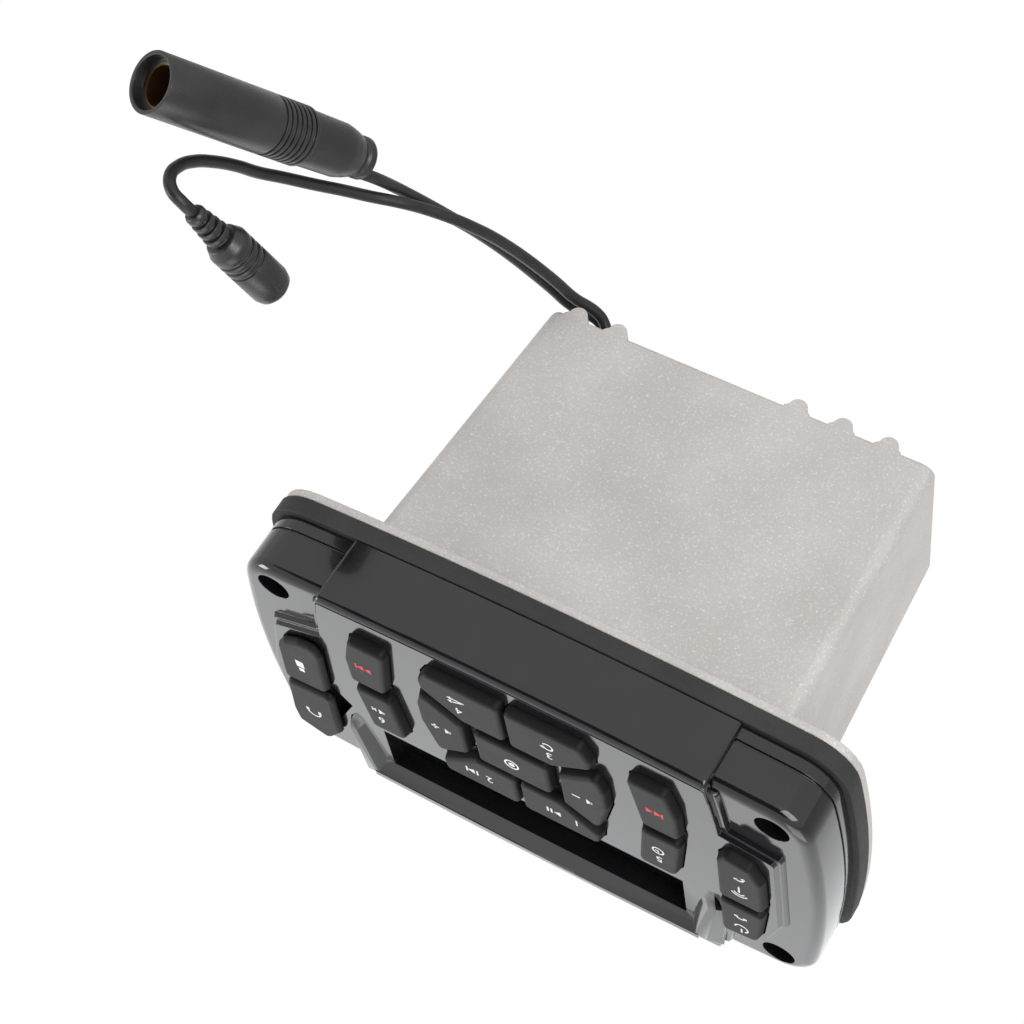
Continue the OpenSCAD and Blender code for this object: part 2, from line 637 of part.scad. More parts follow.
module key_five() { color(key_colour) key(flip(column_top_pts), 0); }
module key_six() { color(key_colour) key(column_top_pts, 0); }
module key_previous() { color(key_colour) key(flip(column_low_pts), 0); }
module key_next() { color(key_colour) key(column_low_pts, 0); }
module key_band() { color(key_colour) key(band_pts, 0); }
module key_power() { color(key_colour) key(power_pts, 0); }

// Rubber covers over the end sockets, each with a short plug
module cover_head(pts) {
    back = face_y - fit_gap;
    loft([key_outline(pts, 0), key_outline(pts, 0), key_outline(pts, -0.4 * key_taper), key_outline(pts, -key_taper)],
        [back, back - 0.4 * cover_rise, cover_front + 0.2 * cover_rise, cover_front]);
}
module usb_cover() {
    color(key_colour) union() {
        cover_head(usb_cover_pts);
        plate(face_y - fit_gap + plug_l, face_y - fit_gap - 1) translate([usb_x, usb_z])
            square([usb_w - 1, usb_h - 1.4], center = true);
    }
}
module aux_cover() {
    color(key_colour) union() {
        cover_head(aux_cover_pts);
        plate(face_y - fit_gap + plug_l, face_y - fit_gap - 1) translate([aux_x, aux_z]) circle(d = aux_d - 3);
    }
}

module usb_socket() {
    color("#c9ccd0") union() {
        plate(port_board_front, port_front) translate([usb_x, usb_z]) difference() {
            square([usb_w, usb_h], center = true);
            square([usb_w - 2 * usb_shell, usb_h - 2 * usb_shell], center = true);
        }
        plate(port_board_front, port_board_front - 2) translate([usb_x, usb_z])
            square([usb_w - tiny, usb_h - tiny], center = true);
        plate(port_board_front, port_front + 1.5) translate([usb_x + 1.2, usb_z]) square([2, usb_h - 3], center = true);
    }
}
module aux_socket() {
    color("#2a2a2c") plate(port_board_front, port_front) translate([aux_x, aux_z]) difference() {
        circle(d = aux_d);
        circle(d = aux_bore_d);
    }
}
module port_board() {
    color("#2f6b3a") plate(port_board_back, port_board_front) difference() {
        translate([port_board_x[0], port_board_z[0]])
            square([port_board_x[1] - port_board_x[0], port_board_z[1] - port_board_z[0]]);
        for (p = port_posts) translate(p) circle(board_hole_r);
    }
}
module small_screws(places, seat) {
    color("#b9bcc0") at_each(places, seat) union() {
        translate([0, 0, -small_head_h]) cylinder(r = small_head_r, h = small_head_h);
        translate([0, 0, -tiny]) cylinder(r = small_shank_r, h = board_t + 5);
    }
}
module port_board_screws() {
    small_screws(port_posts, port_board_back);
}

// Front board with its switches
module control_board() {
    color("#2f6b3a") plate(board_back, board_front) difference() {
        union() {
            translate([-fascia_open_w / 2 + 0.6, -fascia_open_h / 2 + 0.6])
                square([fascia_open_w - 1.2, window_top + 2 + fascia_open_h / 2]);
            translate([board_end_x, board_end_z[0]]) square([board_end_w, board_end_z[1] - board_end_z[0]]);
        }
        for (p = control_bosses) translate(p) circle(board_hole_r);
    }
}
module tact_switches() {
    places = concat([for (pts = [volume_pts, upper_pad_pts, lower_pad_pts, column_top_pts, column_low_pts]) each
        [middle(pts), middle(flip(pts))]], [middle(select_pts), middle(band_pts), middle(power_pts)]);
    color("#8d9094") at_each(places, board_front) union() {
        translate([-3, -3, 0]) cube([6, 6, switch_h - 1]);
        cylinder(r = 1.6, h = switch_h);
    }
}
module control_board_screws() {
    small_screws(control_bosses, board_back);
}
module wireless_module() {
    color("#22407a") translate([module_at[0], board_back, module_at[1]]) cube(module_size);
}
module board_header() {
    color("#202022") translate([-header_size[0] / 2, board_back, main_board_z])
        cube([header_size[0], header_back - board_back, header_size[1]]);
}

// Main board and what stands on it
module main_board() {
    color("#2f6b3a") difference() {
        translate([-main_board_w / 2, main_board_y[0], main_board_z - board_t])
            cube([main_board_w, main_board_y[1] - main_board_y[0], board_t]);
        for (p = main_bosses) translate([p[0], p[1], main_board_z - 2 * board_t])
            cylinder(r = main_bore_r + 0.2, h = 3 * board_t);
    }
}
module main_board_screws() {
    color("#b9bcc0") for (p = main_bosses) translate([p[0], p[1], main_board_z]) union() {
        cylinder(r = main_head_r, h = main_head_h);
        translate([0, 0, -board_t - main_shank_l + 1]) cylinder(r = main_shank_r, h = board_t + main_shank_l);
    }
}
module amplifier_chip() {
    color("#1d1d1f") union() {
        translate([-chip_w / 2, rear_inner - chip_t, chip_z]) cube([chip_w, chip_t, chip_h]);
        translate([-chip_w / 2 + 2, main_board_y[1] - 3, main_board_z])
            cube([chip_w - 4, rear_inner - chip_t + 1 - main_board_y[1] + 3, chip_z + 0.6 - main_board_z]);
    }
}
module chip_clamp() {
    color("#b9bcc0") difference() {
        translate([-clamp_w / 2, rear_inner - chip_t - clamp_t, clamp_z]) cube([clamp_w, clamp_t, clamp_h]);
        for (x = [-1, 1]) translate([x * clamp_screw_x, rear_inner - chip_t + 1, clamp_z + clamp_h / 2])
            rotate([90, 0, 0]) cylinder(r = main_bore_r + 0.2, h = clamp_t + 2);
    }
}
module clamp_screws() {
    seat = rear_inner - chip_t - clamp_t;
    color("#b9bcc0") for (x = [-1, 1]) translate([x * clamp_screw_x, seat, clamp_z + clamp_h / 2]) rotate([90, 0, 0]) union() {
        cylinder(r = main_head_r - 0.4, h = main_head_h);
        translate([0, 0, -clamp_t - 5]) cylinder(r = main_shank_r, h = clamp_t + 5 + tiny);
    }
}
module capacitors() {
    color("#24303f") {
        translate([main_board_w / 2 - main_cap_at[0], main_cap_at[1], main_board_z])
            cylinder(r = main_cap_r, h = main_cap_h);
        for (p = small_caps_at) translate([main_board_w / 2 - p[0], p[1], main_board_z])
            cylinder(r = small_cap_r, h = small_cap_h);
    }
}
module tuner_can() {
    color("#c9ccd0") translate([tuner_inset - main_board_w / 2, tuner_y, main_board_z]) cube(tuner_size);
}

// Leads, grommet and plugs
module cable_grommet() {
    color("#262628") union() {
        outlet(grommet_r, housing_d + grommet_proud, rear_inner - grommet_lip_t / 2);
        outlet(grommet_lip_r, rear_inner, rear_inner - grommet_lip_t);
    }
}
module antenna_lead() {
    color("#1b1b1d") tube(antenna_route, lead_d / 2);
}
module jack_lead() {
    color("#1b1b1d") tube(jack_route, lead_d / 2);
}
module antenna_boot() {
    r = socket_d / 2;
    c = socket_collar_r;
    color("#2d2d30") along(socket_at, socket_axis) rotate_extrude() polygon([[0, 0], [c - 0.6, 0], [c, 0.7], [c, 2.4], [c - 0.5, 3],
        [c - 0.5, 3.6], [c + 0.2, socket_neck_l - 1.6], [r - 1.2, socket_neck_l + 0.6], [r - 0.7, socket_neck_l + 3],
        [r - 0.5, socket_boot_l], [0, socket_boot_l]]);
}
module antenna_shell() {
    barrel = socket_l - socket_boot_l;
    pitch = socket_band_l / band_rings;
    color("#2d2d30") along(socket_at + socket_axis * socket_boot_l, socket_axis) difference() {
        union() {
            rotate_extrude() polygon([[0, 0], [socket_d / 2 - 0.5, 0], [socket_d / 2 - 0.5, socket_band_l],
                [socket_d / 2, socket_band_l], [socket_d / 2, barrel], [0, barrel]]);
            for (i = [0:band_rings - 1]) translate([0, 0, i * pitch]) cylinder(d = socket_d, h = pitch * 0.6);
        }
        translate([0, 0, barrel - socket_bore_depth]) cylinder(d = socket_bore_d + 2 * contact_t, h = socket_bore_depth + 1);
        translate([0, 0, barrel - mouth_depth]) cylinder(r = mouth_r, h = mouth_depth + 1);
    }
}
module antenna_contact() {
    color("#9a6b35") along(socket_at + socket_axis * (socket_l - socket_bore_depth), socket_axis) difference() {
        cylinder(d = socket_bore_d + 2 * contact_t, h = socket_bore_depth - mouth_depth);
        translate([0, 0, contact_t]) cylinder(d = socket_bore_d, h = socket_bore_depth);
    }
}
module jack_body() {
    r = jack_d / 2;
    color("#4a4a4c") along(jack_at, jack_axis) difference() {
        rotate_extrude() polygon(concat([[0, 0], [jack_tail_r - 0.3, 0]],
            ribbed(jack_tail_r, jack_neck_r, 0.8, jack_tail_l - 1.6, jack_ribs, jack_rib_depth),
            [[jack_neck_r + 0.7, jack_tail_l - 1.2], [r - 0.6, jack_tail_l], [r, jack_tail_l + 1.4]],
            ribbed(r, r, jack_tail_l + 2.4, jack_tail_l + 9, jack_grooves, jack_groove_depth),
            [[r, jack_tail_l + 9], [r, jack_l - 3.2], [r - 0.5, jack_l - 1.4], [r - 0.6 * jack_dome, jack_l - 0.4],
                [r - jack_dome, jack_l], [0, jack_l]]));
        translate([0, 0, jack_tail_l + 2]) cylinder(d = aux_bore_d + 2 * contact_t, h = jack_l);
    }
}
module jack_contact() {
    color("#b9bcc0") along(jack_at + jack_axis * (jack_tail_l + 2), jack_axis) difference() {
        cylinder(d = aux_bore_d + 2 * contact_t, h = jack_l - jack_tail_l - 2.5);
        translate([0, 0, contact_t]) cylinder(d = aux_bore_d, h = jack_l);
    }
}

housing();
gasket();
bezel();
fascia();
display_lens();
lcd_panel();
backlight();
keypad_web();
key_select();
key_volume_up();
key_volume_down();
key_one();
key_two();
key_three();
key_four();
key_five();
key_six();
key_previous();
key_next();
key_band();
key_power();
usb_cover();
aux_cover();
usb_socket();
aux_socket();
port_board();
port_board_screws();
control_board();
tact_switches();
control_board_screws();
wireless_module();
board_header();
main_board();
main_board_screws();
amplifier_chip();
chip_clamp();
clamp_screws();
capacitors();
tuner_can();
cable_grommet();
antenna_lead();
antenna_boot();
antenna_shell();
antenna_contact();
jack_lead();
jack_body();
jack_contact();
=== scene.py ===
"""Flush-mount marine stereo: looks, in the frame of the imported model, in metres."""

import json
import logging
import math
from dataclasses import dataclass
from enum import Enum
from typing import Dict, List, Sequence, Tuple

import bpy
from mathutils import Matrix, Vector


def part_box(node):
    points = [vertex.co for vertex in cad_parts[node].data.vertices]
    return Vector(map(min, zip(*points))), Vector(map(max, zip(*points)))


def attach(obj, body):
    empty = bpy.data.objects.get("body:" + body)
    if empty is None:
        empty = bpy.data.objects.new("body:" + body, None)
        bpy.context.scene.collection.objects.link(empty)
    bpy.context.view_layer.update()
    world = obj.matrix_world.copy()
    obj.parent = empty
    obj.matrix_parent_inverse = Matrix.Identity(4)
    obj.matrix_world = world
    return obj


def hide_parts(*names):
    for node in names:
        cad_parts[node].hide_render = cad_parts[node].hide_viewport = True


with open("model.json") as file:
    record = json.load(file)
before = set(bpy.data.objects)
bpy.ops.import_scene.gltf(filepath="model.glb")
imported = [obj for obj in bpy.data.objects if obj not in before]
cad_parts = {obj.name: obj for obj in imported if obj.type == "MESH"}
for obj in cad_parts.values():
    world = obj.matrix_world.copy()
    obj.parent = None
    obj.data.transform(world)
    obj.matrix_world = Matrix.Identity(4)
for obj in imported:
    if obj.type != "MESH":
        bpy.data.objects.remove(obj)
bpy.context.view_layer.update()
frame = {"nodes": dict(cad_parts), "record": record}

log = logging.getLogger("marine_stereo")
MM = 0.001
Point = Tuple[float, float, float]
Colour = Tuple[float, float, float]
Socket = bpy.types.NodeSocket


class Legend(Enum):
    """Paint colours of the key legends."""

    WHITE = "legend_white"
    RED = "legend_red"


class Side(Enum):
    """Ways that an arrow on a key points."""

    LEFT = -1
    RIGHT = 1


# Small tools


def clear_selection() -> None:
    """Leave object mode with nothing selected."""
    if bpy.context.mode != "OBJECT":
        bpy.ops.object.mode_set(mode="OBJECT")
    bpy.ops.object.select_all(action="DESELECT")


def pick(obj: bpy.types.Object) -> None:
    """Make one object the only selected and active one."""
    clear_selection()
    obj.select_set(True)
    bpy.context.view_layer.objects.active = obj


def settle(obj: bpy.types.Object) -> None:
    """Put an object's place into its mesh."""
    pick(obj)
    bpy.ops.object.transform_apply(location=True, rotation=True, scale=True)


def smooth(obj: bpy.types.Object, degrees: float = 32.0) -> None:
    """Shade an object smooth up to an angle."""
    pick(obj)
    bpy.ops.object.shade_smooth_by_angle(angle=math.radians(degrees))


def join(objs: Sequence[bpy.types.Object], name: str) -> bpy.types.Object:
    """Join meshes into one named object.

    Args:
        objs: The meshes, all in place.
        name: The name of the joined piece.

    Returns:
        The joined object.
    """
    clear_selection()
    for obj in objs:
        obj.select_set(True)
    bpy.context.view_layer.objects.active = objs[0]
    if len(objs) > 1:
        bpy.ops.object.join()
    made = bpy.context.view_layer.objects.active
    made.name = name
    made.data.name = name
    return made


def put_on(obj: bpy.types.Object, body: str, material: bpy.types.Material) -> None:
    """Give a piece its body and its only material.

    Args:
        obj: The piece, in place.
        body: The body that it rides on.
        material: The finish.
    """
    obj.data.materials.clear()
    obj.data.materials.append(material)
    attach(obj, body)
    log.info("piece %s on %s", obj.name, body)


# Finishes


def set_range(node: bpy.types.Node, low: float, high: float, to_low: float, to_high: float) -> None:
    """Set the two ranges of a Map Range node."""
    for key, number in (("From Min", low), ("From Max", high), ("To Min", to_low), ("To Max", to_high)):
        node.inputs[key].default_value = number


class Graph:
    """A material's node tree with short ways to add what the finishes use."""

    MIX_FIRST = 6
    MIX_SECOND = 7
    MIX_COLOUR = 2

    def __init__(self, name: str) -> None:
        """Start an empty material with one Principled shader."""
        self.material = bpy.data.materials.new(name)
        self.material.use_nodes = True
        self.tree = self.material.node_tree
        self.shader = self.tree.nodes["Principled BSDF"]
        self.coords = self.tree.nodes.new("ShaderNodeTexCoord").outputs["Object"]

    def link(self, a: Socket, b: Socket) -> None:
        """Join two sockets."""
        self.tree.links.new(a, b)

    def plain(self, **values: float) -> None:
        """Set sockets of the shader that are the same all over.

        Args:
            values: Socket names, with underscores for spaces, and their values.
        """
        for key, value in values.items():
            self.shader.inputs[key.replace("_", " ")].default_value = value

    def noise(self, scale: float, detail: float = 3.0, rough: float = 0.55) -> Socket:
        """Add noise over the piece.

        Args:
            scale: Cells per metre.
            detail: Octaves.
            rough: Weight of the finer octaves.

        Returns:
            The noise value's socket.
        """
        node = self.tree.nodes.new("ShaderNodeTexNoise")
        node.inputs["Scale"].default_value = scale
        node.inputs["Detail"].default_value = detail
        node.inputs["Roughness"].default_value = rough
        self.link(self.coords, node.inputs["Vector"])
        return node.outputs["Fac"]

    def cells(self, scale: float) -> Socket:
        """Add the distance to scattered points, in cells per metre."""
        node = self.tree.nodes.new("ShaderNodeTexVoronoi")
        node.inputs["Scale"].default_value = scale
        self.link(self.coords, node.inputs["Vector"])
        return node.outputs["Distance"]

    def band(self, value: Socket, low: float, high: float, to_low: float, to_high: float) -> Socket:
        """Map a value's range onto another, held at its ends.

        Args:
            value: The value's socket.
            low: Where the range starts.
            high: Where it ends.
            to_low: The result at its start.
            to_high: The result at its end.

        Returns:
            The mapped value's socket.
        """
        node = self.tree.nodes.new("ShaderNodeMapRange")
        set_range(node, low, high, to_low, to_high)
        self.link(value, node.inputs["Value"])
        return node.outputs["Result"]

    def mix(self, fac: Socket, a: object, b: object) -> Socket:
        """Mix two colours.

        Args:
            fac: The share of the second.
            a: The first, a colour or a socket.
            b: The second, a colour or a socket.

        Returns:
            The mixed colour's socket.
        """
        node = self.tree.nodes.new("ShaderNodeMix")
        node.data_type = "RGBA"
        self.link(fac, node.inputs["Factor"])
        for socket, value in ((node.inputs[self.MIX_FIRST], a), (node.inputs[self.MIX_SECOND], b)):
            if isinstance(value, Socket):
                self.link(value, socket)
            else:
                socket.default_value = (*value, 1.0)
        return node.outputs[self.MIX_COLOUR]

    def facing(self, way: Point) -> Socket:
        """Say how far the surface faces a way of the piece.

        Args:
            way: The way, as a unit vector in the piece's own frame.

        Returns:
            One where it faces that way, and minus one where it faces the other.
        """
        node = self.tree.nodes.new("ShaderNodeVectorMath")
        node.operation = "DOT_PRODUCT"
        node.inputs[1].default_value = way
        self.link(self.coords.node.outputs["Normal"], node.inputs[0])
        return node.outputs["Value"]

    def bump(self, height: Socket, strength: float, distance: float) -> None:
        """Raise the surface by a height, in metres at full strength."""
        node = self.tree.nodes.new("ShaderNodeBump")
        node.inputs["Strength"].default_value = strength
        node.inputs["Distance"].default_value = distance
        self.link(height, node.inputs["Height"])
        self.link(node.outputs["Normal"], self.shader.inputs["Normal"])


@dataclass(frozen=True)
class Moulded:
    """A moulded or painted finish with fine grain and slight blotches."""

    name: str
    dark: Colour
    light: Colour
    rough: Tuple[float, float]
    grain: float = 2600.0
    blotch: float = 60.0
    relief: float = 0.00004
    strength: float = 0.25
    metallic: float = 0.0
    coat: float = 0.0
    specular: float = 0.5

    def make(self) -> bpy.types.Material:
        """Build the material."""
        g = Graph(self.name)
        blotch = g.band(g.noise(self.blotch), 0.3, 0.7, 0.0, 1.0)
        g.link(g.mix(blotch, self.dark, self.light), g.shader.inputs["Base Color"])
        grain = g.noise(self.grain, 2.0)
        g.link(g.band(grain, 0.3, 0.7, *self.rough), g.shader.inputs["Roughness"])
        g.plain(Metallic=self.metallic, Coat_Weight=self.coat, Specular_IOR_Level=self.specular)
        g.bump(grain, self.strength, self.relief)
        return g.material


@dataclass(frozen=True)
class KeyRubber:
    """Silicone with a grey face and darker sides, with random lighter blotches on the face; the face is
    painted lighter and the sides painted darker by which way they point, as painted light and painted
    shade.
    """

    name: str = "key_rubber"
    # Painted shade and painted light: side is the darker painted-shade colour of the key sides, face the
    # lighter painted-light colour of the front.
    side: Colour = (0.006, 0.006, 0.0065)
    face: Colour = (0.016, 0.016, 0.017)
    worn: Colour = (0.023, 0.023, 0.024)
    front: Point = (0.0, -1.0, 0.0)
    blotch: float = 160.0
    grain: float = 3400.0
    rough: Tuple[float, float] = (0.5, 0.64)
    specular: float = 0.25
    relief: float = 0.00004

    def make(self) -> bpy.types.Material:
        """Build the material."""
        g = Graph(self.name)
        blotch = g.band(g.noise(self.blotch, 4.0), 0.35, 0.7, 0.0, 1.0)
        face = g.mix(blotch, self.face, self.worn)
        # Painted light and shade: surfaces facing the front get the lighter face colour, the rest the
        # darker painted-shade side colour.
        lit_front_mask = g.band(g.facing(self.front), 0.55, 0.97, 0.0, 1.0)
        g.link(g.mix(lit_front_mask, self.side, face), g.shader.inputs["Base Color"])
        grain = g.noise(self.grain, 2.0)
        g.link(g.band(grain, 0.3, 0.7, *self.rough), g.shader.inputs["Roughness"])
        g.plain(Specular_IOR_Level=self.specular)
        g.bump(grain, 0.3, self.relief)
        return g.material


@dataclass(frozen=True)
class CastMetal:
    """Bead-blasted casting with grain, bright specks and a few stains."""

    name: str = "cast_metal"
    dark: Colour = (0.49, 0.468, 0.446)
    light: Colour = (0.575, 0.552, 0.53)
    speck: Colour = (0.86, 0.845, 0.825)
    stain: Colour = (0.22, 0.205, 0.19)
    cloud_scale: float = 38.0
    grain_scale: float = 1500.0
    speck_scale: float = 300.0
    stain_scale: float = 75.0
    rough: Tuple[float, float] = (0.46, 0.64)
    metallic: float = 0.3
    specular: float = 0.4
    relief: float = 0.00012

    def make(self) -> bpy.types.Material:
        """Build the material."""
        g = Graph(self.name)
        cloud = g.band(g.noise(self.cloud_scale, 5.0), 0.32, 0.68, 0.0, 1.0)
        base = g.mix(cloud, self.dark, self.light)
        grain = g.noise(self.grain_scale, 3.0, 0.7)
        base = g.mix(g.band(grain, 0.34, 0.5, 0.45, 0.0), base, self.dark)
        base = g.mix(g.band(grain, 0.55, 0.68, 0.0, 0.5), base, self.speck)
        base = g.mix(g.band(g.cells(self.speck_scale), 0.02, 0.08, 0.8, 0.0), base, self.speck)
        patch = g.noise(self.stain_scale, 6.0, 0.6)
        base = g.mix(g.band(patch, 0.70, 0.80, 0.0, 0.5), base, self.stain)
        g.link(base, g.shader.inputs["Base Color"])
        g.link(g.band(grain, 0.3, 0.7, *self.rough), g.shader.inputs["Roughness"])
        g.plain(Metallic=self.metallic, Specular_IOR_Level=self.specular)
        g.bump(grain, 0.35, self.relief)
        return g.material


FINISHES: Tuple[object, ...] = (
    CastMetal(),
    Moulded("gasket_rubber", (0.018, 0.018, 0.018), (0.03, 0.03, 0.03), (0.62, 0.8), strength=0.3),
    Moulded("gloss_black", (0.006, 0.006, 0.007), (0.009, 0.009, 0.010), (0.09, 0.13),
            grain=900.0, relief=0.00001, strength=0.05, coat=0.4),
    Moulded("pane", (0.003, 0.0035, 0.004), (0.004, 0.005, 0.006), (0.05, 0.08),
            grain=400.0, relief=0.00001, strength=0.03),
    Moulded("lcd_glass", (0.01, 0.012, 0.012), (0.014, 0.016, 0.016), (0.2, 0.25)),
    Moulded("white_plastic", (0.7, 0.7, 0.68), (0.8, 0.8, 0.78), (0.4, 0.5)),
    KeyRubber(),
    Moulded("tin_plate", (0.5, 0.51, 0.52), (0.6, 0.61, 0.62), (0.25, 0.4), metallic=1.0),
    Moulded("black_plastic", (0.02, 0.02, 0.02), (0.03, 0.03, 0.03), (0.4, 0.55)),
    Moulded("board", (0.015, 0.10, 0.035), (0.03, 0.15, 0.05), (0.3, 0.45), grain=900.0),
    Moulded("steel", (0.5, 0.5, 0.51), (0.58, 0.58, 0.59), (0.25, 0.4), metallic=1.0),
    Moulded("capacitor_sleeve", (0.012, 0.02, 0.04), (0.02, 0.03, 0.05), (0.3, 0.4)),
    Moulded("lead_jacket", (0.010, 0.010, 0.011), (0.016, 0.016, 0.017), (0.36, 0.48),
            grain=1800.0, strength=0.15),
    Moulded("plug_plastic", (0.007, 0.007, 0.0075), (0.014, 0.014, 0.015), (0.28, 0.42),
            grain=1500.0, blotch=140.0, strength=0.5, relief=0.00008, specular=0.7),
    Moulded("contact_brass", (0.28, 0.16, 0.07), (0.40, 0.24, 0.10), (0.3, 0.45), metallic=1.0),
    Moulded("legend_white", (0.72, 0.72, 0.71), (0.80, 0.80, 0.79), (0.45, 0.55)),
    Moulded("legend_red", (0.55, 0.02, 0.02), (0.65, 0.03, 0.03), (0.45, 0.55)),
)


# Sub-assemblies


@dataclass(frozen=True)
class Softened:
    """A CAD node that shows, how far its edges are rounded, in mm, and from which angle on."""

    node: str
    edge: float
    steps: int = 2
    merge: float = 0.03
    sharp: float = 35.0


SOFTENED: Tuple[Softened, ...] = (
    Softened("housing", 0.3, sharp=50.0),
    Softened("gasket", 0.5, 3),
    Softened("bezel", 0.15),
    Softened("fascia", 0.12),
    Softened("cable_grommet", 0.3),
    *(Softened(name, 0.4, 3) for name in sorted(frame["nodes"]) if name.startswith("key_")),
    Softened("usb_cover", 0.4, 3),
    Softened("aux_cover", 0.4, 3),
)


ON_LEADS: Tuple[Softened, ...] = (
    Softened("antenna_boot", 0.25, 3),
    Softened("antenna_shell", 0.18),
    Softened("jack_body", 0.2),
)


@dataclass
class Casing:
    """The CAD nodes, copied with soft edges where they show."""

    flat: float = 0.6

    def edge(self, obj: bpy.types.Object, piece: Softened) -> bpy.types.Modifier:
        """Add the modifier that rounds an object's edges.

        Args:
            obj: The node or its copy.
            piece: The node's rounding.

        Returns:
            The modifier.
        """
        bevel = obj.modifiers.new("soft_edge", "BEVEL")
        bevel.width = piece.edge * MM
        bevel.segments = piece.steps
        bevel.limit_method = "ANGLE"
        bevel.angle_limit = math.radians(piece.sharp)
        bevel.use_clamp_overlap = False
        return bevel

    def soften(self, piece: Softened, body: str, slot: str, paints: Dict[str, bpy.types.Material]) -> None:
        """Copy a node, round its edges and let the copy stand for it.

        Args:
            piece: The node and its rounding.
            body: The body that it rides on.
            slot: Its record slot.
            paints: Finishes by slot.
        """
        mesh = frame["nodes"][piece.node].data.copy()
        obj = bpy.data.objects.new(f"{piece.node}_skin", mesh)
        bpy.context.scene.collection.objects.link(obj)
        pick(obj)
        bpy.ops.object.mode_set(mode="EDIT")
        bpy.ops.mesh.select_all(action="SELECT")
        bpy.ops.mesh.remove_doubles(threshold=piece.merge * MM)
        bpy.ops.mesh.dissolve_limited(angle_limit=math.radians(self.flat))
        bpy.ops.object.mode_set(mode="OBJECT")
        bevel = self.edge(obj, piece)
        bpy.ops.object.modifier_apply(modifier=bevel.name)
        smooth(obj, piece.sharp)
        level = obj.modifiers.new("level_faces", "WEIGHTED_NORMAL")
        level.keep_sharp = True
        level.weight = 100
        bpy.ops.object.modifier_apply(modifier=level.name)
        put_on(obj, body, paints[slot])
        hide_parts(piece.node)

    def wrap(self, piece: Softened) -> None:
        """Soften a node by modifiers alone, because its lead names the node itself.

        Args:
            piece: The node and its rounding.
        """
        obj = frame["nodes"][piece.node]
        pick(obj)
        bpy.ops.object.shade_smooth()
        weld = obj.modifiers.new("merge", "WELD")
        weld.merge_threshold = piece.merge * MM
        self.edge(obj, piece)
        split = obj.modifiers.new("crisp", "EDGE_SPLIT")
        split.split_angle = math.radians(piece.sharp)

    def dress(self, paints: Dict[str, bpy.types.Material]) -> None:
        """Give every CAD node its finish, and soften those that show.

        Args:
            paints: Finishes by slot.
        """
        slots = {part["node"]: part["material_slot"] for part in frame["record"]["subparts"]}
        riders = frame["record"]["behaviour"]["bodies"]
        bodies = {node: body for body, nodes in riders.items() for node in nodes}
        for name, slot in slots.items():
            node = frame["nodes"][name]
            node.data.materials.clear()
            node.data.materials.append(paints[slot])
            log.info("node %s finished as %s", name, slot)
        for piece in SOFTENED:
            self.soften(piece, bodies[piece.node], slots[piece.node], paints)
        for piece in ON_LEADS:
            self.wrap(piece)


